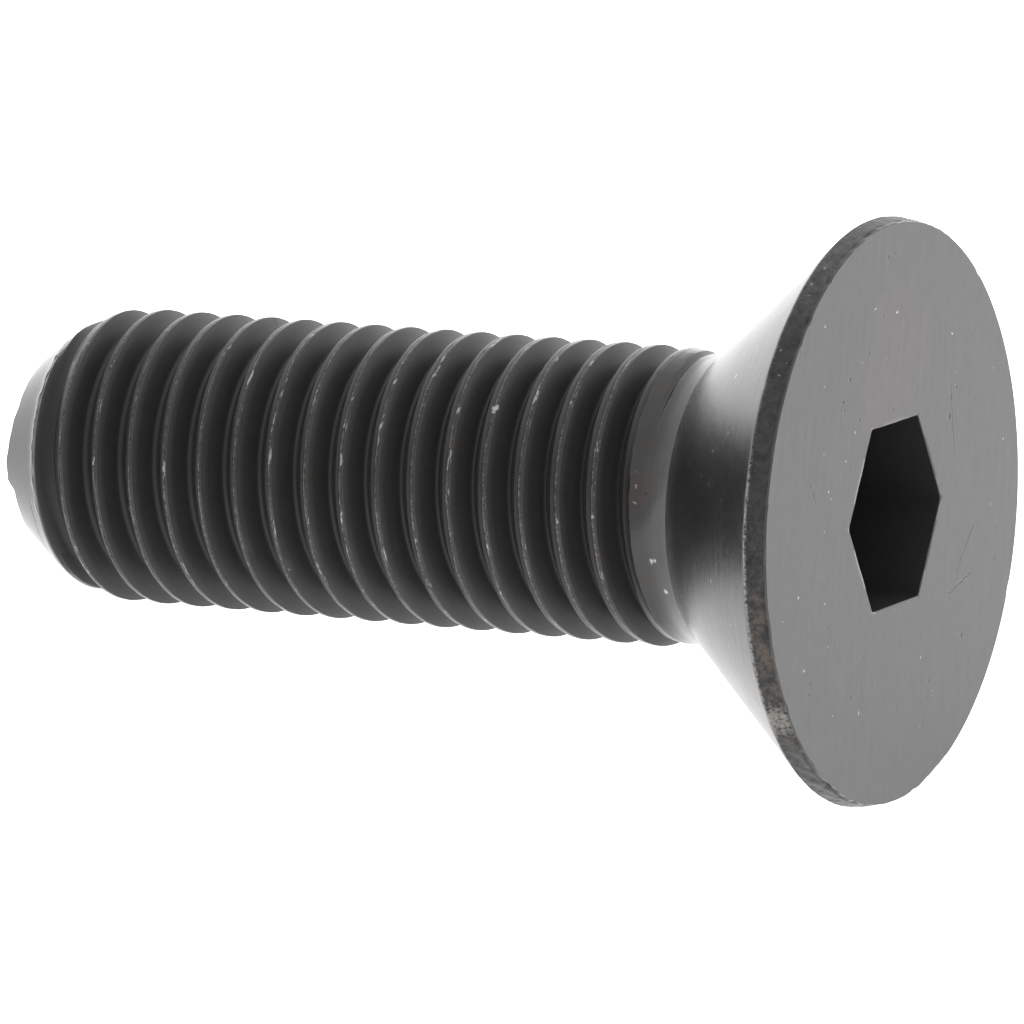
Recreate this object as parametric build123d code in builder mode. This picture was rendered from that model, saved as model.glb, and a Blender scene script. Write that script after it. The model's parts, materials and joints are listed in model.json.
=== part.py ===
from build123d import *
from math import atan2, ceil, cos, degrees, floor, radians, sin, tan
import os

# A countersunk socket screw, 5/16-24 UNF by 1 inch: one forged head, with one rolled thread.
# It is modelled upright, head face on Z = 0 and thread pointing up, and is then laid down
# the way it comes to rest on a table: on the rim of its head and on its last full crest.
# Lengths are in millimetres and angles in degrees.

os.makedirs("parts", exist_ok=True)

# Head
overall_length = 25.0
face_diameter = 15.19
face_edge_bevel = 0.08
rim_diameter = 15.38
rim_height = 0.57
head_angle = 84.0

# Hexagon socket, pressed into the head face by a punch with a blunt conical end
socket_across_flats = 4.76
socket_depth = 3.0
socket_punch_diameter = 4.4
socket_punch_depth = 0.7
socket_turn = 48.0

# Neck, as thick as the blank that the thread was rolled on, with a flare up to the cone
neck_diameter = 7.5
neck_flare_length = 0.77

# Thread, right-handed, 24 to the inch, with the distances from the flare's end to its first
# full groove and crest
thread_pitch = 25.4 / 24
crest_diameter = 7.9
crest_flat = 0.13
root_flat = 0.19
flank_angle = 60.0
flare_to_full_groove = 0.6
flare_to_full_crest = 0.735
full_groove_turn = -43.0
run_out_turns = 0.6
run_out_clearance = 0.1

# Point: crests that fall away over the lead, then a blunt cone
lead_length = 2.55
point_length = 1.3
point_base_diameter = 7.2
point_end_diameter = 5.3

# How far the cutting solids reach past the surfaces that they cut
cut_margin = 0.05

# Profile of the head and shank, worked out from the sizes above
face_radius = face_diameter / 2
rim_radius = rim_diameter / 2
neck_radius = neck_diameter / 2
crest_radius = crest_diameter / 2
half_head_angle = radians(head_angle / 2)
neck_height = rim_height + (rim_radius - neck_radius) / tan(half_head_angle)
flare_start_radius = neck_radius + neck_flare_length * sin(half_head_angle)
flare_start_height = neck_height - neck_flare_length * cos(half_head_angle)
flare_end_height = neck_height + neck_flare_length
full_groove_height = flare_end_height + flare_to_full_groove
full_crest_height = flare_end_height + flare_to_full_crest
lead_start = overall_length - lead_length

# Section of one thread groove: a V that stops at the root flat, as deep as the flats leave it
half_flank = radians(flank_angle / 2)
groove_half_width = (thread_pitch - crest_flat) / 2
groove_depth = (groove_half_width - root_flat / 2) / tan(half_flank)
groove_floor_radius = crest_radius - groove_depth
groove_top_radius = crest_radius + cut_margin
groove_top_half_width = groove_half_width + cut_margin * tan(half_flank)

# The groove winds on past the point in equal lengths, each of two turns, and the blank is
# one pitch longer still
winding_height = 2 * thread_pitch
winding_count = ceil((overall_length - full_groove_height) / winding_height)
blank_length = full_groove_height + winding_count * winding_height + thread_pitch

# Run-out, where the groove climbs out of the blank as it winds towards the head
run_out_length = run_out_turns * thread_pitch
run_out_rise = neck_radius + run_out_clearance - groove_floor_radius
run_out_angle = degrees(atan2(run_out_rise, run_out_length))


def groove_section(plane):
    """One groove's section, on a plane through the screw's axis, where it reaches full depth."""
    with BuildSketch(plane) as section:
        with BuildLine():
            Polyline(
                (groove_floor_radius, full_groove_height - root_flat / 2),
                (groove_floor_radius, full_groove_height + root_flat / 2),
                (groove_top_radius, full_groove_height + groove_top_half_width),
                (groove_top_radius, full_groove_height - groove_top_half_width),
                close=True,
            )
        make_face()
    return section.sketch


# The main groove, a right-handed helix at constant depth
with BuildPart() as thread_groove:
    with BuildLine() as groove_path:
        for winding in range(winding_count):
            Helix(
                pitch=thread_pitch,
                height=winding_height,
                radius=groove_floor_radius,
                center=(0, 0, full_groove_height + winding * winding_height),
            )
    sweep(groove_section(Plane.XZ), path=groove_path.wires()[0], is_frenet=True)

# The run-out's helix points down, which starts it on the -X side, so its section is drawn there
run_out_plane = Plane(origin=(0, 0, 0), x_dir=(-1, 0, 0), z_dir=(0, 1, 0))
with BuildPart() as groove_run_out:
    with BuildLine() as run_out_path:
        Helix(
            pitch=thread_pitch / cos(radians(run_out_angle)),
            height=run_out_length,
            radius=groove_floor_radius,
            center=(0, 0, full_groove_height),
            direction=(0, 0, -1),
            cone_angle=run_out_angle,
        )
    sweep(groove_section(run_out_plane), path=run_out_path.edges()[0], is_frenet=True)

# The screw, upright on its head
with BuildPart() as upright_screw:
    # Forged blank: head, neck and a shank as thick as the thread's crests
    with BuildSketch(Plane.XZ):
        with BuildLine():
            Polyline(
                (neck_radius, flare_end_height),
                (crest_radius, full_crest_height),
                (crest_radius, blank_length),
                (0, blank_length),
                (0, 0),
                (face_radius - face_edge_bevel, 0),
                (face_radius, face_edge_bevel),
                (rim_radius, rim_height),
                (flare_start_radius, flare_start_height),
            )
            Bezier(
                (flare_start_radius, flare_start_height),
                (neck_radius, neck_height),
                (neck_radius, flare_end_height),
            )
        make_face()
    revolve(axis=Axis.Z)
    # Rolled thread
    add(thread_groove.part, rotation=(0, 0, full_groove_turn), mode=Mode.SUBTRACT)
    add(groove_run_out.part, rotation=(0, 0, full_groove_turn + 180), mode=Mode.SUBTRACT)
    # Point, turned from the overlong blank
    with BuildSketch(Plane.XZ):
        with BuildLine():
            Polyline(
                (0, overall_length),
                (point_end_diameter / 2, overall_length),
                (point_base_diameter / 2, overall_length - point_length),
                (crest_radius, lead_start),
                (crest_radius + cut_margin, lead_start),
                (crest_radius + cut_margin, blank_length + cut_margin),
                (0, blank_length + cut_margin),
                close=True,
            )
        make_face()
    revolve(axis=Axis.Z, mode=Mode.SUBTRACT)
    # Hexagon socket
    with BuildSketch():
        RegularPolygon(socket_across_flats / 2, 6, major_radius=False, rotation=socket_turn)
    extrude(amount=socket_depth, mode=Mode.SUBTRACT)
    with Locations((0, 0, socket_depth)):
        Cone(
            socket_punch_diameter / 2,
            0,
            socket_punch_depth,
            align=(Align.CENTER, Align.CENTER, Align.MIN),
            mode=Mode.SUBTRACT,
        )

# At rest the screw touches the table at two points of its -X side: the sharp back edge of
# the rim, and the crest that is the last one there at full height. Its axis tips by the
# angle that brings both down to the table, with the head towards +X.
underside_turn = (180 - full_groove_turn) / 360 + 0.5
underside_crest = full_groove_height + underside_turn * thread_pitch + crest_flat / 2
crests_beyond = floor((lead_start - underside_crest) / thread_pitch)
rest_crest_height = underside_crest + crests_beyond * thread_pitch
rest_tilt = degrees(atan2(rim_radius - crest_radius, rest_crest_height - rim_height))
laid_down = upright_screw.part.rotate(Axis.Y, -90 - rest_tilt)
rest_box = laid_down.bounding_box()

with BuildPart() as screw:
    add(laid_down.moved(Location((-rest_box.center().X, 0, -rest_box.min.Z))))
screw.part.label = "screw"
export_step(screw.part, "parts/screw.step")
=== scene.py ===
import json
import math

import bmesh
import bpy
import numpy as np
from mathutils import Matrix, Vector


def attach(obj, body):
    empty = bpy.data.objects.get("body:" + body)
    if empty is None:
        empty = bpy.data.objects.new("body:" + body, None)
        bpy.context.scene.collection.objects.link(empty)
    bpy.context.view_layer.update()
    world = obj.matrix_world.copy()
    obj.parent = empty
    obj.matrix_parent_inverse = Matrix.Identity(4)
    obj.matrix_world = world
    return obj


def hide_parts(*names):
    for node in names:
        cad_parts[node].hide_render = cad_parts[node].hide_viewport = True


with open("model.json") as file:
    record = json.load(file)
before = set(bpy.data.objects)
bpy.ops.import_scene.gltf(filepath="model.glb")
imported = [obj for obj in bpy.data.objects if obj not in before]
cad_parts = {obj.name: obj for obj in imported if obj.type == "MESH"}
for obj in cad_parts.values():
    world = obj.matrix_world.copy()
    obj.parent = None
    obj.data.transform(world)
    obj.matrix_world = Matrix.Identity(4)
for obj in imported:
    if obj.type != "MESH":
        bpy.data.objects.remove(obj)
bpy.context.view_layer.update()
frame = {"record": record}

# ---------------------------------------------------------------------------------------
# The screw's own directions, in row axes: the centre of its head face, the way to its
# point, the way across the table and the way to its upper side. Heights below run from
# the face to the point and turns are degrees from the upper side, right-handed about the
# way to the point. Lengths below are in millimetres unless they say metres.
# ---------------------------------------------------------------------------------------

MM = 0.001
merge_distance = 2e-8  # in metres
sharp_angle = math.radians(32.0)
head_face = next(m for m in frame["record"]["mounts"] if m["name"] == "head_face")
face_centre = Vector(head_face["pos_m"])
to_point = -Vector(head_face["axis"])
across = Vector((0, 1, 0))
upper = across.cross(to_point)

# Head. The face is flat out to its flat radius, and a little less far at its lowest point.
face_radius = 7.6
face_bevel = 0.04
face_flat_radius = 7.565
face_lowest_bevel = 0.09
rim_radius = 7.69
rim_height = 0.57
rim_back_bevel = 0.012
half_head_angle = math.radians(42.0)
socket_across_flats = 4.76
socket_depth = 3.0
socket_floor_radius = 2.2
socket_floor_depth = 0.7
socket_wall_top = 0.35
socket_turn = 48.0
socket_edge = 0.02
socket_corner = 0.13

# Neck: the cone ends at a crease, and a flare runs on from it down to the blank
neck_radius = 3.75
neck_flare_length = 0.77
neck_height = rim_height + (rim_radius - neck_radius) / math.tan(half_head_angle)
flare_end = neck_height + neck_flare_length
crease_height = 4.65
crease_radius = rim_radius - (crease_height - rim_height) * math.tan(half_head_angle)

# Thread. On the upper side a crest's middle would lie at crest_turn_height, and a groove's at
# groove_turn_height, and they come again every pitch. A crest's edges and seam are measured
# from its middle, at crest_edge_height, and drift towards the point by their drift for each
# millimetre along the screw.
pitch = 25.4 / 24
crest_radius = 3.945
crest_turn_height = 0.621
groove_turn_height = crest_turn_height - pitch / 2
half_flank = math.radians(30.0)
full_groove_depth = 0.6
crest_edge_height = 7.5
crest_near_edge = -0.05
crest_near_edge_drift = 0.0067
crest_seam = 0.075
crest_seam_drift = 0.0045
crest_far_edge = 0.235
last_crest_cut = 0.50
last_groove_rise = 0.22
first_crest_height = 6.35

# Point. Its lip lies a little short of the length, apart from a tongue on the front.
length = 25.0
lead_start = 22.5
point_base_height = 23.7
point_base_radius = 3.62
point_end_radius = 2.66
lip_drop = 0.03
tongue_length = 0.29
dish_depth = 0.12


# ---------------------------------------------------------------------------------------
# Small tools for surfaces
# ---------------------------------------------------------------------------------------


def smooth_step(value, start, end):
    """0 before start, 1 past end, and 3 s^2 - 2 s^3 of the share s between them."""
    share = np.clip((value - start) / (end - start), 0, 1)
    return share * share * (3 - 2 * share)


def turn_between(turn, centre):
    """Degrees from centre to turn the short way round, from -180 to 180."""
    return (turn - centre + 180) % 360 - 180


def bell(distance, size, power=2):
    """1 at no distance and 1/e at the size: exp(-(distance / size)^power), for even powers."""
    return np.exp(-((distance / size) ** power))


def spot(turn, height, place, size):
    """A round bell of height 1 at place, exp(-(a^2 + b^2)), where a and b are the turn and the
    height away from it in parts of its size, which is (degrees, millimetres)."""
    a = turn_between(turn, place[0]) / size[0]
    b = (height - place[1]) / size[1]
    return np.exp(-(a * a + b * b))


def ripple(turn, height, seed, round_counts, height_lengths, waves=14):
    """A rough surface, mostly between -1 and 1: the sum of sine waves over the root of their
    number. Each has a whole number of cycles round the screw, taken between round_counts, and
    a wavelength along it, taken between height_lengths, so the surface closes on itself."""
    chance = np.random.RandomState(seed)
    total = np.zeros(np.broadcast(turn, height).shape)
    for _ in range(waves):
        count = chance.randint(round_counts[0], round_counts[1] + 1)
        cycles = chance.uniform(1 / height_lengths[1], 1 / height_lengths[0])
        along = cycles * chance.choice((-1, 1))
        phase = chance.uniform(0, 2 * math.pi)
        total += np.sin(np.radians(turn) * count + 2 * math.pi * along * height + phase)
    return total / math.sqrt(waves)


def uneven(thread_turn, seed, spans, waves=9):
    """A wandering line along the thread, mostly between -1 and 1: the sum of sine waves over
    the root of their number. They run over the degrees wound so far, with periods between the
    two spans."""
    chance = np.random.RandomState(seed)
    total = np.zeros(np.shape(thread_turn))
    for _ in range(waves):
        period = math.exp(chance.uniform(math.log(spans[0]), math.log(spans[1])))
        total += np.sin(2 * math.pi * thread_turn / period + chance.uniform(0, 2 * math.pi))
    return total / math.sqrt(waves)


def place_points(radius, turn, height):
    """Points in row axes, in metres: the face centre, plus the height along the way to the
    point, plus the radius along the direction that the turn gives between upper and across."""
    angle = np.radians(turn)
    local = np.stack([radius * np.cos(angle), radius * np.sin(angle), height], axis=-1) * MM
    axes = np.array([upper, across, to_point])
    return local @ axes + np.array(face_centre)


def grid_faces(rows, columns, shift=0):
    """Quads of a grid that closes round its columns, as rows of four vertex numbers. The last
    column joins the first, with its rows moved on by shift. Faces point outwards where the
    rows run towards the point and the columns run with the turns."""
    row, column = np.meshgrid(np.arange(rows - 1), np.arange(columns), indexing="ij")
    beyond = (column + 1) % columns
    step = np.where(column + 1 == columns, shift, 0)
    inside = row + 1 + step < rows
    row, column, beyond, step = row[inside], column[inside], beyond[inside], step[inside]
    return np.stack(
        [
            row * columns + column,
            (row + step) * columns + beyond,
            (row + 1 + step) * columns + beyond,
            (row + 1) * columns + column,
        ],
        axis=-1,
    )


def make_piece(name, points, faces, marks):
    """A closed piece from its points, quads and the marks that its finish reads. Points that
    fall on each other are merged, so poles and ends close."""
    mesh = bpy.data.meshes.new(name)
    mesh.from_pydata(points.reshape(-1, 3).tolist(), [], faces.tolist())
    for mark, values in marks.items():
        layer = mesh.attributes.new(mark, "FLOAT", "POINT")
        layer.data.foreach_set("value", np.ascontiguousarray(values, np.float32).ravel())
    shell = bmesh.new()
    shell.from_mesh(mesh)
    bmesh.ops.remove_doubles(shell, verts=shell.verts, dist=merge_distance)
    shell.to_mesh(mesh)
    shell.free()
    mesh.shade_smooth()
    mesh.set_sharp_from_angle(angle=sharp_angle)
    piece = bpy.data.objects.new(name, mesh)
    bpy.context.scene.collection.objects.link(piece)
    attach(piece, "root")
    return piece


# ---------------------------------------------------------------------------------------
# Shank: neck, thread and point
# ---------------------------------------------------------------------------------------


def flare(height):
    """Radius between the cone and the neck: the neck's radius, plus the square of the share
    of the way back to the crease times what the crease is wider."""
    share = np.clip((flare_end - height) / (flare_end - crease_height), 0, 1)
    return neck_radius + (crease_radius - neck_radius) * share**2


def crest_cut(height):
    """How far the last crest is cut away on the side of the head, by its middle's height."""
    return last_crest_cut * smooth_step(height, 23.5, 23.8)


def crest_edges(height, thread_turn):
    """Where a crest's near edge and seam lie from its nominal middle, by the middle's height
    and the degrees wound so far. Both drift evenly towards the point, and the seam wanders."""
    along = np.clip(height, 7.0, 23.0) - crest_edge_height
    near = crest_near_edge + crest_near_edge_drift * along
    seam = crest_seam + crest_seam_drift * along + 0.008 * uneven(thread_turn, 32, (8, 70))
    return near, seam


def crest_line(height):
    """Radius that the crests reach: the flare and neck, then a swell to full crests, the
    shallow lead and the blunt cone of the point, which runs on past the nominal length."""
    neck = flare(height)
    swell = smooth_step(height, flare_end - 0.75, first_crest_height)
    full = neck + (crest_radius - neck) * swell
    fall = (point_base_radius - point_end_radius) / (length - point_base_height)
    heights = [
        crease_height,
        flare_end,
        lead_start - 0.3,
        lead_start + 0.1,
        lead_start + 0.6,
        point_base_height,
        length + 1,
    ]
    radii = [
        crease_radius + 0.02,
        crest_radius,
        crest_radius,
        crest_radius - 0.02,
        crest_radius - 0.09,
        point_base_radius,
        point_end_radius - fall,
    ]
    return np.minimum(full, np.interp(height, heights, radii))


def groove_depth(share, half_width):
    """Depth of the rolled groove below the crests, by distance from its middle as a share of
    the way to its edge: the shallower of two straight flanks, which would meet in a sharp
    root half_width / tan(30) deep, and a flat root, blended where they meet by the smooth
    minimum (a + b - sqrt((a - b)^2 + c^2)) / 2."""
    flank = half_width * (1 - np.abs(share)) / math.tan(half_flank)
    blend = np.sqrt((flank - full_groove_depth) ** 2 + 0.05**2)
    return np.maximum((flank + full_groove_depth - blend) / 2, 0)


def groove_floor(height):
    """How far the groove's floor still is above its full depth where it winds out of the
    neck: it starts over the neck and comes down over about a turn."""
    heights = [5.12, 5.28, 5.50, 6.15]
    floors = [4.2, 3.79, 3.60, crest_radius - full_groove_depth]
    return np.interp(height, heights, floors) - (crest_radius - full_groove_depth)


def crest_lips(beyond, near, seam, turn, thread_turn):
    """Height of the crest's top over its nominal line, by distance past its middle towards the
    point: a near lip with a rounded edge, a seam, and a far lip that rolls away as the share
    of its width to the power 1.3, less on the upper side. It all wavers along the thread."""
    open_seam = bell(turn_between(turn, -52), 40, 4)
    seam_depth = 0.004 + 0.010 * open_seam + 0.004 * uneven(thread_turn, 41, (10, 90))
    share = np.clip((beyond - seam) / (crest_far_edge - seam), 0, 1.3)
    roll = 0.062 - 0.02 * smooth_step(turn_between(turn, -60), 0, 40)
    return (
        -0.003 * bell(beyond - near, 0.02)
        - np.maximum(seam_depth, 0.002) * bell(beyond - seam, 0.008)
        - (0.003 + roll * share**1.3) * (beyond > seam)
        + 0.003 * uneven(thread_turn, 42, (6, 50))
    )


# Dents and chips in the crests: turn, height, size round and along, and how deep they go
crest_dents = [
    (-104.1, 16.17, 2.2, 0.09, 0.035),
    (-103.5, 13.99, 2.4, 0.08, 0.030),
    (-111.1, 12.97, 2.6, 0.09, 0.035),
    (-119.7, 11.76, 2.2, 0.08, 0.030),
    (-32.1, 10.08, 1.6, 0.07, 0.020),
    (-82.5, 20.74, 1.6, 0.07, 0.020),
    (-96.0, 17.30, 1.6, 0.06, 0.020),
    (25.0, 15.40, 2.6, 0.08, 0.030),
    (80.0, 12.20, 2.4, 0.08, 0.030),
    (140.0, 18.60, 2.6, 0.09, 0.035),
    (-150.0, 9.30, 2.2, 0.07, 0.025),
]


def point_burr(turn, height):
    """1 on the burr that the last groove raised along the point's base, and 0 off it: a bell
    across a line that winds with the thread, faded out past the front and upper side."""
    turns_wound = 22 + (turn_between(turn, -60) - 60) / 360
    burr_height = crest_turn_height + pitch * turns_wound + 0.15
    return bell(height - burr_height, 0.075) * bell(turn_between(turn, -38), 52, 4)


def shank_radius(turn, height):
    """Radius of the shank: the lower of the crest line with its lips, dents and burr, and the
    groove. The other three results are a near lip that rises from 0 to 1 at the seam, 1 past
    the seam, and 1 on the burr."""
    middle = groove_turn_height + pitch * turn / 360
    groove_height = middle + np.round((height - middle) / pitch) * pitch
    groove_wound = 360 * (groove_height - groove_turn_height) / pitch
    near_above = crest_edges(groove_height + pitch / 2, groove_wound)[0]
    cut = crest_cut(groove_height + pitch / 2)
    half_width = (pitch + near_above - crest_far_edge) / 2
    away = height - groove_height - (near_above + crest_far_edge) / 2
    share = away / (half_width + cut * (away > 0))
    groove = crest_radius - groove_depth(share, half_width) + groove_floor(groove_height)
    groove = groove + last_groove_rise * smooth_step(groove_height, 23.2, 23.5)

    above = height > groove_height
    crest_height = np.where(above, groove_height + pitch / 2, groove_height - pitch / 2)
    crest_wound = np.where(above, groove_wound, groove_wound - 360)
    beyond = height - crest_height
    near, seam = crest_edges(crest_height, crest_wound)
    on_thread = smooth_step(height, flare_end - 0.25, flare_end + 0.1)
    off_point = 1 - smooth_step(height, point_base_height - 0.4, point_base_height + 0.1)
    lips = crest_lips(beyond, near, seam, turn, crest_wound)
    crest = crest_line(height) + lips * on_thread * off_point
    for dent_turn, dent_height, round_size, along_size, depth in crest_dents:
        dent = spot(turn, height, (dent_turn, dent_height), (round_size, along_size))
        crest = crest - depth * dent
    burr = point_burr(turn, height)
    crest = crest + burr * (0.024 + 0.020 * ripple(turn, height, 5, (25, 90), (0.2, 1.0)))

    near_lip = np.clip((beyond - near + 0.02) / (seam - near), 0, 1) * (beyond < seam + 0.004)
    point_side = smooth_step(beyond, seam - 0.004, seam + 0.016) * on_thread * off_point
    return np.minimum(crest, groove), near_lip * on_thread, point_side, burr


def point_lip(turn):
    """Height of the point's uneven lip: a little short of the length, with a tongue on the
    front that ends in a step, and a small wave all round."""
    from_step = turn_between(turn, -85)
    tongue = smooth_step(from_step, -4, 1) * (1 - smooth_step(from_step, 0, 63))
    wave = ripple(turn, 0 * turn, 8, (5, 29), (1, 2), waves=9)
    return length + tongue_length * tongue + 0.02 * wave - lip_drop


# Rows of one pitch of thread: steps from the groove's middle, from the crest's near edge and
# from its seam, shares of the way across each lip, and a step past the far edge
groove_steps = (-0.28, -0.17, -0.115, -0.08, -0.055, 0.0, 0.055, 0.08, 0.115, 0.17, 0.28)
near_edge_steps = (-0.025, -0.008)
near_lip_shares = (0.1, 0.3, 0.5, 0.7, 0.86)
seam_steps = (-0.007, 0.0, 0.006, 0.017)
far_lip_shares = (0.33, 0.66, 1.0)
far_edge_step = 0.025


def thread_rows(column_turns):
    """Heights of rows that wind with the thread, and how many there are to a pitch. A row's
    height is that of its groove or crest, which rises by the pitch times the share of a turn,
    plus a distance. The rows start before the crease and end past the lip."""
    first = math.floor((crease_height - groove_turn_height) / pitch) - 1
    wind = first + np.arange(int((length - crease_height) / pitch) + 4)[:, None]
    wound = 360 * wind + column_turns
    groove = groove_turn_height + pitch * wound / 360
    crest = groove + pitch / 2
    near, seam = crest_edges(crest, wound)
    middle = groove + (near + crest_far_edge) / 2
    past_seam = seam_steps[-1]
    far_lip = crest_far_edge - seam - past_seam

    section = [middle + step for step in groove_steps]
    section += [crest + near + step for step in near_edge_steps]
    section += [crest + near + (seam - near) * share for share in near_lip_shares]
    section += [crest + seam + step for step in seam_steps]
    section += [crest + seam + past_seam + far_lip * share for share in far_lip_shares]
    section += [crest + crest_far_edge + far_edge_step]
    return np.stack(section, axis=1).reshape(-1, len(column_turns)), len(section)


def build_shank():
    """The rows that wind with the thread are held between the crease and the lip, and their
    last column joins the first one pitch further on. A flat end inside the head and a dished
    one at the point close them on the screw's axis."""
    columns = 180
    column_turns = np.arange(columns) * 360 / columns
    heights, rows_per_pitch = thread_rows(column_turns)
    lip = point_lip(column_turns)
    height = np.clip(heights, crease_height, lip)
    turn = np.broadcast_to(column_turns, height.shape)
    radius, near_lip, point_side, burr = shank_radius(turn, height)
    radius = np.where(height <= crease_height, crease_radius, radius)

    flat_radius = crease_radius * np.array([[0.0], [0.5]]) * np.ones(columns)
    flat_height = np.full(flat_radius.shape, crease_height)
    shares = np.array([[0.93], [0.8], [0.55], [0.25], [0.0]])
    drops = np.array([[0.35], [0.8], [1.0], [1.0], [1.0]])
    dish_radius = radius[-1] * shares
    dish_height = length - lip_drop + (lip - length + lip_drop) * shares**4 - dish_depth * drops

    all_radius = np.concatenate([flat_radius, radius, dish_radius])
    all_height = np.concatenate([flat_height, height, dish_height])
    all_turn = np.broadcast_to(column_turns, all_radius.shape)
    first_wound = len(flat_radius)
    last_wound = first_wound + len(height) - 1
    flat_faces = grid_faces(first_wound + 1, columns)
    wound_faces = grid_faces(len(height), columns, rows_per_pitch) + first_wound * columns
    dish_faces = grid_faces(len(dish_radius) + 1, columns) + last_wound * columns

    def whole(mark):
        """A mark over the rows that wind, with 0 on both ends."""
        return np.concatenate([0 * flat_radius, mark, 0 * dish_radius])

    return make_piece(
        "shank",
        place_points(all_radius, all_turn, all_height),
        np.concatenate([flat_faces, wound_faces, dish_faces]),
        {
            "groove": whole(np.clip((crest_line(height) - radius) / full_groove_depth, 0, 1)),
            "near_lip": whole(near_lip),
            "point_side": whole(point_side),
            "burr": whole(burr),
        },
    )


# ---------------------------------------------------------------------------------------
# Head: socket, face, rim and cone
# ---------------------------------------------------------------------------------------


def hexagon(turn, across_flats, corner):
    """Radius of a hexagon by turn: half its width over the cosine of the angle from the middle
    of the nearest flat, and near a corner the arc of the corner's radius, whose centre lies
    on the corner's direction."""
    from_flat = np.abs((turn - socket_turn) % 60 - 30)
    flat = across_flats / 2 / np.cos(np.radians(from_flat))
    from_corner = np.radians(30 - from_flat)
    centre = (across_flats / 2 - corner) / math.cos(math.radians(30))
    reach = centre * np.sin(from_corner)
    arc = centre * np.cos(from_corner) + np.sqrt(np.maximum(corner**2 - reach**2, 0))
    return np.where(reach < corner / 2, arc, flat)


# Nicks in the face's edge: turn, size round and depth
rim_nicks = [
    (-23.0, 1.3, 0.05),
    (-28.5, 0.9, 0.035),
    (-12.0, 0.7, 0.03),
    (-62.0, 0.8, 0.03),
    (-86.0, 2.4, 0.03),
    (-104.0, 1.6, 0.05),
    (-121.0, 1.2, 0.04),
    (-133.0, 2.2, 0.05),
    (60.0, 1.0, 0.03),
    (132.0, 1.4, 0.04),
    (-170.0, 1.1, 0.03),
]


def socket_rows(hexa, edge):
    """The socket's conical floor, and its walls up to where their broken edge starts."""
    for share in (0.0, 0.3, 0.65, 1.0):
        yield socket_floor_radius * share, socket_depth + socket_floor_depth * (1 - share)
    for height in np.linspace(socket_depth, socket_wall_top, 7):
        yield hexa, height
    yield hexa, edge * 1.2 + 0.02
    yield hexa, edge * 1.2


def face_rows(hexa, edge, flat_radius):
    """The socket's broken edge, then the face, evenly from hexagon to circle, with two close
    rows at its edge that keep its shading flat."""
    yield hexa + edge * 0.35, edge * 0.45
    yield hexa + edge * 1.1, 0.0
    for share in (0.02, 0.08, 0.2, 0.4, 0.6, 0.8, 0.93):
        yield (hexa + edge * 1.1) * (1 - share) + (flat_radius - 0.03) * share, 0.0
    yield flat_radius - 0.03, 0.0
    yield flat_radius, 0.0


def rim_rows(flat_radius):
    """A small bevel, then the rough band, then its back edge."""
    yield (flat_radius + face_radius) / 2, face_bevel * 0.3
    for share in (0.0, *np.linspace(0.06, 0.94, 16)):
        radius = face_radius + (rim_radius - face_radius) * share
        yield radius, face_bevel + (rim_height - face_bevel) * share
    yield rim_radius, rim_height - 0.015
    yield rim_radius - rim_back_bevel, rim_height + rim_back_bevel


def cone_rows():
    """The cone down to the crease, its rows closest near the rim, and the flat end."""
    cone_start = rim_height + rim_back_bevel
    for share in np.linspace(0, 1, 40)[1:] ** 1.15:
        height = cone_start + (crease_height - cone_start) * share
        yield rim_radius - (height - rim_height) * math.tan(half_head_angle), height
    yield crease_radius * 0.5, crease_height
    yield 0.0, crease_height


def roughen_rim(radius, height, turn):
    """The radius with the rim rippled all round, and with its front edge worn and nicked, all
    of it rougher low on the front. The other result is 1 on the rim's rough band."""
    band = smooth_step(height, 0.0, 0.1)
    band = band * (1 - smooth_step(height, rim_height - 0.03, rim_height + 0.05))
    band = band * (radius > face_radius - 0.03)
    coarse = ripple(turn, height, 11, (10, 60), (0.3, 2.0))
    fine = ripple(turn, height, 12, (60, 150), (0.3, 0.9), waves=24)
    low_front = 1 + 1.2 * spot(turn, 0 * height, (-130, 0), (24, 1))
    rough = 0.014 + (0.006 * coarse + 0.002 * fine) * low_front
    radius = radius - band * np.clip(rough, 0, 0.09)
    edge_zone = (radius > face_radius - 0.15) * (height < 0.12)
    worn_edge = 0.012 * (1 + ripple(turn, 0 * height, 14, (12, 90), (1, 2))) * low_front
    radius = radius - edge_zone * (height > 0) * worn_edge
    for nick_turn, nick_size, depth in rim_nicks:
        nick = spot(turn, 0 * height, (nick_turn, 0), (nick_size, 1))
        radius = radius - depth * edge_zone * nick
    return radius, band


def build_head():
    """Rows run from the socket's floor, up its walls, over the face, round the rim and down
    the cone to the crease, where a flat end closes on the axis."""
    columns = 720
    column_turns = socket_turn + np.arange(columns) * 360 / columns
    hexa = hexagon(column_turns, socket_across_flats, socket_corner)
    wave = ripple(column_turns, 0 * column_turns, 3, (5, 24), (1, 2))
    edge = np.clip(socket_edge * (1 + 0.4 * wave), 0.008, 0.05)
    lowest = np.maximum(-np.cos(np.radians(column_turns)), 0.5)
    flat_radius = np.minimum(face_flat_radius, (face_radius - face_lowest_bevel) / lowest)

    in_socket = list(socket_rows(hexa, edge))
    rows = [
        *in_socket,
        *face_rows(hexa, edge, flat_radius),
        *rim_rows(flat_radius),
        *cone_rows(),
    ]
    radius = np.array([row_radius * np.ones(columns) for row_radius, _ in rows])
    height = np.array([row_height * np.ones(columns) for _, row_height in rows])
    turn = np.broadcast_to(column_turns, radius.shape)
    radius, band = roughen_rim(radius, height, turn)
    inside = (np.arange(len(rows)) < len(in_socket))[:, None] * np.ones(columns)
    return make_piece(
        "head",
        place_points(radius, turn, height),
        grid_faces(len(rows), columns),
        {"rim_band": band, "in_socket": inside},
    )


shank = build_shank()
head = build_head()
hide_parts("screw")
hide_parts("screw")


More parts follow.
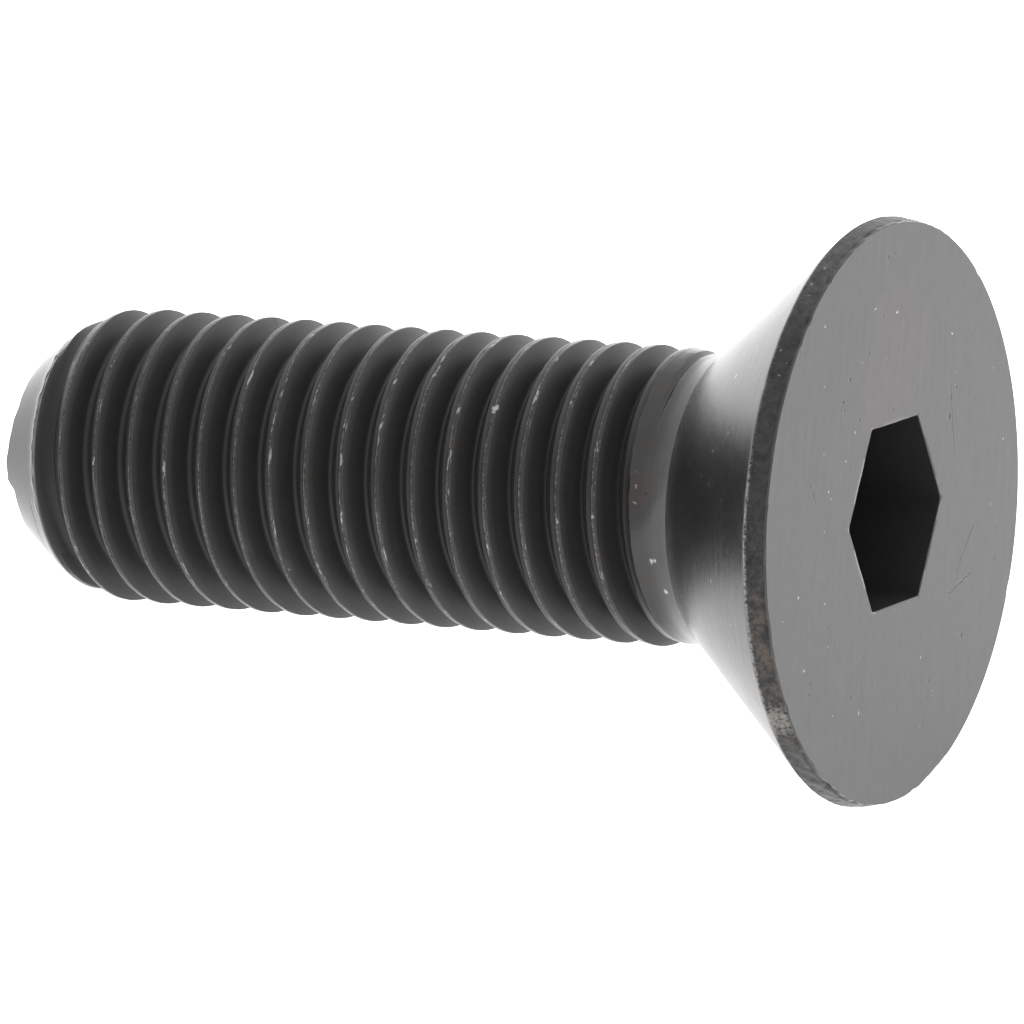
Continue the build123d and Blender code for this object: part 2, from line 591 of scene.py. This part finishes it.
# ---------------------------------------------------------------------------------------
# Tools for finishes
# ---------------------------------------------------------------------------------------


class Value:
    """A socket that carries a number over a surface. Sums, products and so on of values add
    the Math nodes that work them out."""

    def __init__(self, nodes, socket):
        self.nodes = nodes
        self.socket = socket

    def _math(self, operation, *inputs, clamp=False):
        settings = {"operation": operation, "use_clamp": clamp}
        return self.nodes.value("ShaderNodeMath", settings, dict(enumerate(inputs)))

    def __add__(self, other):
        return self._math("ADD", self, other)

    __radd__ = __add__

    def __sub__(self, other):
        return self._math("SUBTRACT", self, other)

    def __rsub__(self, other):
        return self._math("SUBTRACT", other, self)

    def __mul__(self, other):
        return self._math("MULTIPLY", self, other)

    __rmul__ = __mul__

    def __truediv__(self, other):
        return self._math("DIVIDE", self, other)

    def at_most(self, other):
        return self._math("MINIMUM", self, other)

    def at_least(self, other):
        return self._math("MAXIMUM", self, other)

    def clamped(self):
        """Held between 0 and 1."""
        return self._math("ADD", self, 0.0, clamp=True)

    def hypot(self, other):
        """The length of the diagonal over both."""
        return self._math("SQRT", self * self + other * other)

    def turn_from(self, other):
        """Degrees turned from the other one's direction towards this one's."""
        return self._math("ARCTAN2", self, other) * math.degrees(1.0)

    def over(self, start, end):
        """0 before start and 1 past end, smoothly between."""
        return self.nodes.value(
            "ShaderNodeMapRange",
            {"interpolation_type": "SMOOTHSTEP"},
            {"Value": self, "From Min": start, "From Max": end},
        )

    def under(self, start, end):
        """1 before start and 0 past end, smoothly between."""
        return 1.0 - self.over(start, end)

    def inside(self, rise, fall):
        """1 between a rise and a fall, each given as its start and end, and 0 outside them."""
        return self.over(*rise) * self.under(*fall)

    def near(self, middle, start, end):
        """1 within start of the middle and 0 further than end from it, smoothly between."""
        return self._math("ABSOLUTE", self - middle).under(start, end)

    def less(self, share):
        """Without a share of itself."""
        return self * (1.0 - share)


class Nodes:
    """The ways to add nodes to a node tree."""

    def __init__(self, tree):
        self.tree = tree

    def node(self, kind, settings=None, inputs=None):
        """A node of a kind, with its settings set first and then its sockets filled with
        numbers, colours or links."""
        made = self.tree.nodes.new(kind)
        for name, setting in (settings or {}).items():
            setattr(made, name, setting)
        for name, given in (inputs or {}).items():
            self.fill(made.inputs[name], given)
        return made

    def fill(self, socket, given):
        """Links a socket to what is given, or sets it, if that is a number or a colour."""
        if isinstance(given, Value):
            given = given.socket
        if isinstance(given, bpy.types.NodeSocket):
            self.tree.links.new(given, socket)
        else:
            socket.default_value = given

    def value(self, kind, settings=None, inputs=None, output=0):
        return Value(self, self.node(kind, settings, inputs).outputs[output])

    def vector(self, *parts):
        return self.node("ShaderNodeCombineXYZ", {}, dict(enumerate(parts))).outputs[0]

    def vector_math(self, operation, *inputs):
        settings = {"operation": operation}
        return self.node("ShaderNodeVectorMath", settings, dict(enumerate(inputs))).outputs

    def noise(self, vector, scale, detail, roughness):
        """Cloudy noise, about 0.5 on average, with scale cells to the millimetre."""
        inputs = {"Vector": vector, "Scale": scale, "Detail": detail, "Roughness": roughness}
        return self.value("ShaderNodeTexNoise", {"noise_dimensions": "3D"}, inputs)

    def specks(self, vector, scale, size):
        """Scattered specks: 1 close to a random point in each cell, 0 further off than size."""
        inputs = {"Vector": vector, "Scale": scale}
        away = self.value("ShaderNodeTexVoronoi", {"feature": "F1"}, inputs)
        return away.under(size * 0.6, size)

    def ragged(self, vector, scale, amount):
        """The same coordinates, pushed about by cloudy noise, so that marks get rough edges."""
        inputs = {"Vector": vector, "Scale": scale, "Detail": 1.0}
        clouds = self.node("ShaderNodeTexNoise", {"noise_dimensions": "3D"}, inputs)
        clouds = clouds.outputs["Color"]
        push = self.vector_math("MULTIPLY_ADD", clouds, (amount,) * 3, (-amount / 2,) * 3)[0]
        return self.vector_math("ADD", vector, push)[0]

    def mark(self, name):
        """A mark of the piece's own, by its name."""
        return self.value("ShaderNodeAttribute", {"attribute_name": name}, {}, output=2)

    def mark_at(self, vector, place, size):
        """1 at a place and 0 further off than its size."""
        away = Value(self, self.vector_math("DISTANCE", vector, place)["Value"])
        return away.under(size * 0.45, size)

    def marks_at(self, vector, places):
        """All of a list of places, each a point and a size, as one mask."""
        mask = self.mark_at(vector, *places[0])
        for place, size in places[1:]:
            mask = mask.at_least(self.mark_at(vector, place, size))
        return mask

    def mix_colour(self, share, first, second, blend="MIX"):
        """The share of the way from the first colour to the second, or to their blend."""
        settings = {"data_type": "RGBA", "blend_type": blend}
        return self.node("ShaderNodeMix", settings, {0: share, 6: first, 7: second}).outputs[2]


class Finish(Nodes):
    """A procedural finish: a material and its shader."""

    def __init__(self, name):
        self.material = bpy.data.materials.new(name)
        self.material.use_nodes = True
        super().__init__(self.material.node_tree)
        self.shader = next(n for n in self.tree.nodes if n.type == "BSDF_PRINCIPLED")

    def set(self, name, given):
        self.fill(self.shader.inputs[name], given)


def grey(level):
    return (level, level, level, 1.0)


def on_screw(places):
    """Places beside the axis, given as radius, turn, height and size, each as its point, which
    is upper, across and height, and its size."""
    return [
        (
            (radius * math.cos(math.radians(turn)), radius * math.sin(math.radians(turn)), height),
            size,
        )
        for radius, turn, height, size in places
    ]


def on_flat(places):
    """Places on the face, given as upper, across and size, each as its point and its size."""
    return [((up, side, 0.0), size) for up, side, size in places]


class OxideFinish(Finish):
    """Black oxide on steel, with what its parts share, all in millimetres and degrees: the
    height from the face, the distances off the axis towards the upper side and across, the
    radius and turn that they make, clouds, grain, and brushing in rings round the axis, which
    ends at the point's lip."""

    def __init__(self, name):
        super().__init__(name)
        position = self.node("ShaderNodeTexCoord").outputs["Object"]
        from_face = self.vector_math("SUBTRACT", position, tuple(face_centre))[0]
        self.height, self.up, self.side = (
            Value(self, self.vector_math("DOT_PRODUCT", from_face, tuple(way))["Value"]) * 1000.0
            for way in (to_point, upper, across)
        )
        self.radius = self.up.hypot(self.side)
        self.turn = self.side.turn_from(self.up)
        self.local = self.vector(self.up, self.side, self.height)
        self.ragged_local = self.ragged(self.local, 11.0, 0.13)
        self.cloud = self.noise(self.local, 0.9, 2.0, 0.55) - 0.5
        self.grain = self.noise(self.local, 8.0, 2.0, 0.65) - 0.5
        round_axis = (self.up / self.radius * 1.4, self.side / self.radius * 1.4)
        rings = self.noise(self.vector(*round_axis, self.height * 15.0), 1.0, 2.0, 0.6)
        self.brushing = (rings - 0.5) * self.height.under(24.6, 24.85)

    def stretch(self, start, end, soft):
        """1 between two turns and 0 outside them, over a soft edge in degrees."""
        return self.turn.inside((start - soft, start + soft), (end - soft, end + soft))

    def surface(self, level, metallic, roughness, relief, shine):
        """Sends a level of grey, and the rest, to the shader. Relief is in millimetres, and
        shine is the specular level of what isn't metallic."""
        self.colour = self.mix_colour(level.clamped(), grey(0.0), grey(1.0))
        self.set("Metallic", metallic)
        self.set("Roughness", roughness)
        self.set("Specular IOR Level", shine)
        bump = self.node("ShaderNodeBump", {}, {"Strength": 1.0, "Distance": MM, "Height": relief})
        self.set("Normal", bump.outputs[0])

    def stain(self, share, colour):
        """Turns a share of the colour so far into another one."""
        self.colour = self.mix_colour(share, self.colour, colour)

    def tint(self, share, colour):
        """Multiplies a share of the colour so far by another one."""
        self.colour = self.mix_colour(share, self.colour, colour, "MULTIPLY")

    def done(self, piece):
        self.set("Base Color", self.colour)
        piece.data.materials.append(self.material)


rust = (0.085, 0.068, 0.056, 1.0)
bare_steel = (0.26, 0.245, 0.225, 1.0)
oxide_level = 0.055


# ---------------------------------------------------------------------------------------
# Finish of the shank
# ---------------------------------------------------------------------------------------

# Bare chips and dark pits on the crests, the neck and the point: radius, turn, height, size
shank_chips = [
    (3.93, -32.1, 10.10, 0.12),
    (3.93, -33.8, 10.10, 0.07),
    (3.93, -83.5, 20.77, 0.11),
    (3.74, -57.6, 23.34, 0.08),
    (3.78, -82.7, 23.10, 0.09),
    (3.93, -105.5, 16.12, 0.08),
    (3.76, -53.3, 5.68, 0.11),
    (3.76, -58.7, 5.62, 0.10),
    (3.76, -65.4, 5.62, 0.10),
    (3.79, -88.3, 5.23, 0.10),
    (3.80, -87.6, 5.12, 0.08),
    (3.89, -101.0, 4.95, 0.09),
    (3.42, -62.0, 23.95, 0.05),
]
shank_pits = [
    (3.85, -51.2, 4.86, 0.07),
    (3.77, -61.5, 5.35, 0.05),
    (3.80, -93.0, 4.80, 0.04),
]
brown_neck = [(3.75, -60.0, 5.72, 0.75)]


def finish_shank(piece):
    """Satin on the neck, with near black shade painted into the grooves and onto the flanks that
    face the point, and worn along the near lips of the crests.
    """
    steel = OxideFinish("black_oxide_shank")
    groove = steel.mark("groove")
    near_lip = steel.mark("near_lip")
    point_side = steel.mark("point_side")
    burr = steel.mark("burr")
    wear = steel.noise(steel.local, 9.0, 3.0, 0.8)
    patches = steel.noise(steel.local, 1.3, 2.0, 0.5)
    fine = steel.noise(steel.local, 26.0, 1.0, 0.6) - 0.5
    chips = steel.marks_at(steel.ragged_local, on_screw(shank_chips))
    pits = steel.marks_at(steel.ragged_local, on_screw(shank_pits))

    # Parts of the shank, as masks, and masks of painted shade in the grooves and on the point-side
    # flanks
    upper_side = (steel.up / steel.radius).over(0.45, 0.9)
    on_thread = steel.height.inside((5.6, 6.0), (24.2, 24.6))
    on_crests = steel.height.inside((5.9, 6.5), (23.3, 23.7))
    by_first_crest = steel.height.inside((4.9, 5.7), (5.9, 6.3))
    on_point = steel.height.over(23.6, 24.0)
    by_seam = near_lip * near_lip * near_lip
    beside_lip = near_lip.under(0.02, 0.35) * on_crests
    painted_shade = (groove.over(0.0, 0.12) * on_thread).at_least(beside_lip)
    painted_shade = painted_shade.at_least(point_side * on_thread * (0.98 - 0.5 * upper_side))
    last_groove = steel.height.over(22.9, 23.4) * painted_shade
    flank_top = groove.under(0.05, 0.38) * (1.0 - point_side)
    lip_shade = (point_side * groove.under(0.15, 0.35)).less(0.8 * upper_side)

    # Wear on the near lips: a soft shine in patches, and streaks of bare steel
    rubbed = 0.9 * near_lip * near_lip + 2.4 * (wear - 0.5) + 1.2 * (patches - 0.5)
    worn = rubbed.over(0.55, 1.05) * near_lip.over(0.1, 0.5) * on_crests
    streaks = steel.noise(steel.vector(steel.turn * 0.10, steel.height * 6.0, 0.0), 1.0, 2.0, 0.65)
    bare = streaks.over(0.60, 0.67) * near_lip.over(0.15, 0.4) * on_crests
    bare = bare * (wear + 0.6 * patches).over(0.60, 0.80)

    # The last of the groove is a fine line round the lower front of the point
    line_height = 24.07 + 0.05 * (wear - 0.5)
    fine_line = steel.height.near(line_height, 0.016, 0.045) * steel.stretch(-145.0, -91.0, 7.0)

    level = oxide_level * (1.0 + 0.22 * steel.cloud + 0.2 * steel.grain + 0.3 * steel.brushing)
    level = level.less(0.25 * by_first_crest + 0.30 * on_point)
    level = level.less(on_crests * (1.0 - painted_shade) * (0.34 - 0.3 * by_seam))
    level = level * (1.0 + on_crests * near_lip * (2.4 * (wear - 0.5) + 1.4 * fine))
    level = level + worn * 0.045 * (0.6 + 2.0 * fine) + burr * 0.07 * (wear - 0.3)
    # Painted shade: darkens the grooves and the flanks that face the point, less towards the
    # flanks' tops, the far lips less on the upper side, and the last groove more
    level = level.less(painted_shade * (0.72 - 0.24 * flank_top)).less(0.9 * lip_shade)
    level = (level + 0.15 * bare).less(0.35 * last_groove)
    level = (level + 0.2 * chips).less(0.6 * pits).less(0.6 * fine_line)
    metallic = (1.0 - 0.95 * painted_shade).at_least(bare)
    roughness = 0.25 + 0.08 * steel.cloud + 0.08 * steel.grain + 0.14 * painted_shade + 0.06 * worn
    relief = 0.0014 * steel.grain + 0.0015 * steel.brushing - 0.02 * fine_line
    relief = relief + (near_lip + burr) * 0.008 * (wear - 0.5)
    steel.surface(level, metallic, roughness, relief, 0.2)
    steel.tint(patches.over(0.45, 0.75), (1.06, 0.99, 0.95, 1.0))
    brown = steel.marks_at(steel.local, on_screw(brown_neck)) * wear.over(0.3, 0.6)
    steel.tint(brown, (1.12, 0.97, 0.93, 1.0))
    steel.done(piece)


# ---------------------------------------------------------------------------------------
# Finish of the head
# ---------------------------------------------------------------------------------------

# Bare chips on the rim: radius, turn, height, size
rim_chips = [
    (7.66, -8.5, 0.35, 0.06),
    (7.66, -10.5, 0.22, 0.05),
    (7.66, -13.8, 0.40, 0.06),
    (7.66, -16.6, 0.30, 0.06),
    (7.66, -31.0, 0.45, 0.05),
    (7.66, -33.5, 0.20, 0.06),
    (7.66, -36.0, 0.30, 0.05),
]

# Dark pits and bare specks on the face, and where it looks warm: upper, across, size
face_pits = [
    (4.68, -0.13, 0.07),
    (4.53, -1.36, 0.09),
    (4.28, -3.11, 0.05),
    (-1.00, -4.62, 0.05),
    (0.98, 3.74, 0.11),
    (1.53, 4.37, 0.07),
    (3.30, -1.20, 0.06),
    (-5.10, 0.40, 0.05),
    (-3.90, 5.10, 0.05),
    (2.10, 4.90, 0.04),
    (-6.20, -2.40, 0.05),
    (6.55, 1.70, 0.07),
    (6.50, 2.05, 0.06),
    (4.15, -1.90, 0.06),
    (-2.10, -6.10, 0.05),
    (-4.90, 2.60, 0.06),
]
face_specks = [
    (-3.96, -3.62, 0.06),
    (-0.31, -4.51, 0.06),
    (2.62, -2.25, 0.05),
    (4.95, 1.75, 0.05),
    (1.45, -3.95, 0.04),
    (-1.90, -1.95, 0.04),
    (5.60, 0.60, 0.05),
    (0.55, -5.85, 0.05),
    (2.95, 4.60, 0.05),
]
warm_face = [(4.1, 1.5, 2.3), (3.1, 0.2, 1.7)]

# Scratches on the face: where each starts and ends, as upper and across, and its width
face_scratches = [
    ((1.80, 4.07), (-0.28, 3.65), 0.03),
    ((-2.44, 4.20), (-3.19, 2.81), 0.025),
    ((-3.57, 3.64), (-3.47, 2.22), 0.03),
]

# Bare specks and a dark pit on the cone: radius, turn, height, size
cone_specks = [
    (5.94, -57.8, 2.51, 0.08),
    (5.91, -49.5, 2.54, 0.07),
    (6.10, -30.0, 2.34, 0.08),
    (6.46, -46.1, 1.94, 0.07),
    (6.56, -61.7, 1.83, 0.08),
    (6.10, -81.4, 2.34, 0.08),
]
cone_pits = [(5.20, -4.1, 3.33, 0.08)]


def scratch(steel, waver, start, end, width):
    """A line on the face: 1 close to the segment between two places given as upper and across,
    and 0 further from it than its width. Waver pushes it about."""
    reach = math.hypot(end[0] - start[0], end[1] - start[1])
    ahead = ((end[0] - start[0]) / reach, (end[1] - start[1]) / reach)
    up = steel.up + 0.25 * waver - start[0]
    side = steel.side - 0.25 * waver - start[1]
    along = (up * ahead[0] + side * ahead[1]).at_least(0.0).at_most(reach)
    away = (up - along * ahead[0]).hypot(side - along * ahead[1])
    return away.under(width * 0.3, width)


def finish_head(piece):
    """Satin face and brushed cone, with painted shade in the socket, rough and a little rusty on
    the rim, with a painted highlight along the rim's back edge.
    """
    steel = OxideFinish("black_oxide_head")
    rim = steel.mark("rim_band").over(0.2, 0.9)
    hole = steel.mark("in_socket")
    on_face = steel.height.under(0.004, 0.02)
    on_cone = steel.height.over(0.58, 0.62) * (1.0 - hole)

    # Rim: forging scale in lumps, with a rusty stretch, a bare scuff, chips, and a painted
    # highlight along its back edge
    lumps = steel.noise(steel.local, 3.2, 3.0, 0.7)
    crumbs = steel.noise(steel.local, 11.0, 2.0, 0.75)
    rough_ends = steel.stretch(-160.0, -112.0, 12.0).at_least(steel.stretch(-22.0, 12.0, 10.0))
    rim_level = 0.62 + 0.8 * (lumps - 0.5) + 0.35 * (crumbs - 0.5)
    rim_level = rim_level + 0.5 * rough_ends * (lumps + crumbs - 0.5)
    chips = steel.specks(steel.ragged_local, 3.4, 0.05)
    chips = chips.at_least(steel.marks_at(steel.ragged_local, on_screw(rim_chips)))
    scuff = steel.stretch(-111.0, -103.5, 2.5) * (lumps + 0.8 * crumbs).over(0.72, 1.05)
    rusty = steel.stretch(-116.0, -76.0, 9.0) * (lumps + 0.5 * crumbs).over(0.62, 0.95)
    back_edge = steel.height.inside((0.50, 0.56), (0.59, 0.61)) * (1.0 - hole)
    edge_highlight = back_edge * (steel.stretch(-112.0, -54.0, 6.0) * 0.85 + 0.15)
    edge_highlight = edge_highlight * crumbs.over(0.35, 0.6)

    # Face: faint grinding streaks, mottling, pits, bare specks and scratches
    across_streak = steel.side * 0.893 - steel.up * 0.450
    along_streak = steel.up * 0.893 + steel.side * 0.450
    streaks = steel.vector(across_streak * 9.0, along_streak * 0.35, 0.0)
    streaks = steel.noise(streaks, 1.0, 2.0, 0.6) - 0.5
    mottle = steel.noise(steel.local, 2.6, 3.0, 0.6) - 0.5
    scratches = scratch(steel, mottle, *face_scratches[0])
    for place in face_scratches[1:]:
        scratches = scratches.at_least(scratch(steel, mottle, *place))
    scratches = scratches * on_face
    pits = steel.marks_at(steel.ragged_local, on_flat(face_pits))
    pits = pits.at_least(steel.specks(steel.ragged_local, 1.1, 0.06)) * on_face
    specks = steel.marks_at(steel.ragged_local, on_flat(face_specks))
    specks = specks.at_least(steel.specks(steel.ragged_local, 1.4, 0.05)) * on_face

    # Cone: brushed in rings, with a few specks and pits
    far_specks = steel.marks_at(steel.ragged_local, on_screw(cone_specks))
    far_specks = far_specks.at_least(steel.specks(steel.ragged_local, 1.6, 0.05))
    far_pits = steel.specks(steel.ragged_local, 0.9, 0.05)
    far_pits = far_pits.at_least(steel.marks_at(steel.ragged_local, on_screw(cone_pits)))

    face_tone = 0.30 * mottle + 0.35 * streaks
    cone_tone = 0.9 * steel.brushing + 0.4 * mottle + 0.4 * steel.grain
    level = oxide_level * (1.0 + 0.16 * steel.cloud + 0.10 * steel.grain)
    level = level * (1.0 + on_face * face_tone + on_cone * cone_tone)
    # The socket's colour is darkened by painted shade
    level = level * (1.0 + rim * (rim_level - 1.0)) * (1.0 - 0.70 * hole)
    # A painted highlight along the rim's back edge, and bare chips on the rim
    level = level + 0.10 * chips * rim + 0.13 * edge_highlight
    level = level + 0.16 * specks + 0.14 * far_specks * on_cone
    level = level + 0.045 * scuff * rim * (crumbs + lumps)
    level = level.less(0.45 * pits + 0.35 * scratches + 0.4 * far_pits * on_cone)
    roughness = 0.25 + 0.06 * steel.cloud + 0.06 * steel.grain + 0.22 * rim + 0.35 * hole
    relief = 0.0011 * steel.grain + (0.0020 * steel.brushing + 0.004 * mottle) * on_cone
    relief = relief + rim * (0.022 * (lumps - 0.5) + 0.008 * (crumbs - 0.5))
    relief = relief - 0.012 * pits - 0.010 * scratches
    steel.surface(level, 1.0 - 0.97 * hole, roughness, relief, 0.06)
    warm = steel.marks_at(steel.local, on_flat(warm_face)) * (0.8 + 1.6 * steel.cloud)
    steel.tint(on_face * warm.clamped(), (1.17, 1.02, 1.05, 1.0))
    steel.stain(0.55 * rusty * rim, rust)
    steel.stain(0.30 * scuff * rim, bare_steel)
    steel.done(piece)


finish_shank(shank)
finish_head(head)


# ---------------------------------------------------------------------------------------
# Table, light and camera, in metres
# ---------------------------------------------------------------------------------------

table_half_width = 2.0
table_glow = 1.5
light_strength = 1.75
dim_light_strength = 1.45
dim_side = Vector((-0.35, -0.85, 0.35)).normalized()
camera_elevation = math.radians(30.0)
camera_turn = math.radians(-26.1)
camera_distance = 0.25205
camera_left_of_face = 0.009926
camera_above_face = 0.000036


def add_table():
    """A pale table, lit from below."""
    mesh = bpy.data.meshes.new("floor")
    corners = [(-1, -1), (1, -1), (1, 1), (-1, 1)]
    corners = [(x * table_half_width, y * table_half_width, 0) for x, y in corners]
    mesh.from_pydata(corners, [], [(0, 1, 2, 3)])
    floor = bpy.data.objects.new("floor", mesh)
    bpy.context.scene.collection.objects.link(floor)
    table = Finish("pale_table")
    table.set("Base Color", grey(0.5))
    table.set("Roughness", 0.9)
    table.set("Emission Color", grey(1.0))
    table.set("Emission Strength", table_glow)
    mesh.materials.append(table.material)


def add_light():
    """Soft light from all round, dimmer from behind the camera and its left."""
    world = bpy.data.worlds.new("studio")
    bpy.context.scene.world = world
    world.use_nodes = True
    sky = Nodes(world.node_tree)
    direction = sky.node("ShaderNodeTexCoord").outputs["Generated"]
    strength = sky.value(
        "ShaderNodeMapRange",
        {"interpolation_type": "SMOOTHSTEP"},
        {
            "Value": sky.vector_math("DOT_PRODUCT", direction, dim_side)["Value"],
            "From Min": 0.1,
            "From Max": 0.95,
            "To Min": light_strength,
            "To Max": dim_light_strength,
        },
    )
    background = world.node_tree.nodes["Background"]
    sky.fill(background.inputs["Color"], grey(1.0))
    sky.fill(background.inputs["Strength"], strength)


def add_camera():
    """A long lens that looks down across the screw, turned a little towards its point. Its
    place is measured from the centre of the face."""
    level_way = Vector((math.sin(camera_turn), math.cos(camera_turn), 0))
    right = Vector((math.cos(camera_turn), -math.sin(camera_turn), 0))
    down = Vector((0, 0, -math.sin(camera_elevation)))
    forward = level_way * math.cos(camera_elevation) + down
    above = right.cross(forward)
    lens = bpy.data.cameras.new("camera")
    lens.lens = 342.3
    lens.sensor_width = 36.0
    lens.clip_start = 0.01
    lens.clip_end = 10
    camera = bpy.data.objects.new("camera", lens)
    place = face_centre - forward * camera_distance
    place = place - right * camera_left_of_face + above * camera_above_face
    facing = Matrix((right, above, -forward)).transposed().to_4x4()
    camera.matrix_world = Matrix.Translation(place) @ facing
    bpy.context.scene.collection.objects.link(camera)
    bpy.context.scene.camera = camera


bpy.context.scene.view_settings.view_transform = "Standard"
add_table()
add_light()
add_camera()
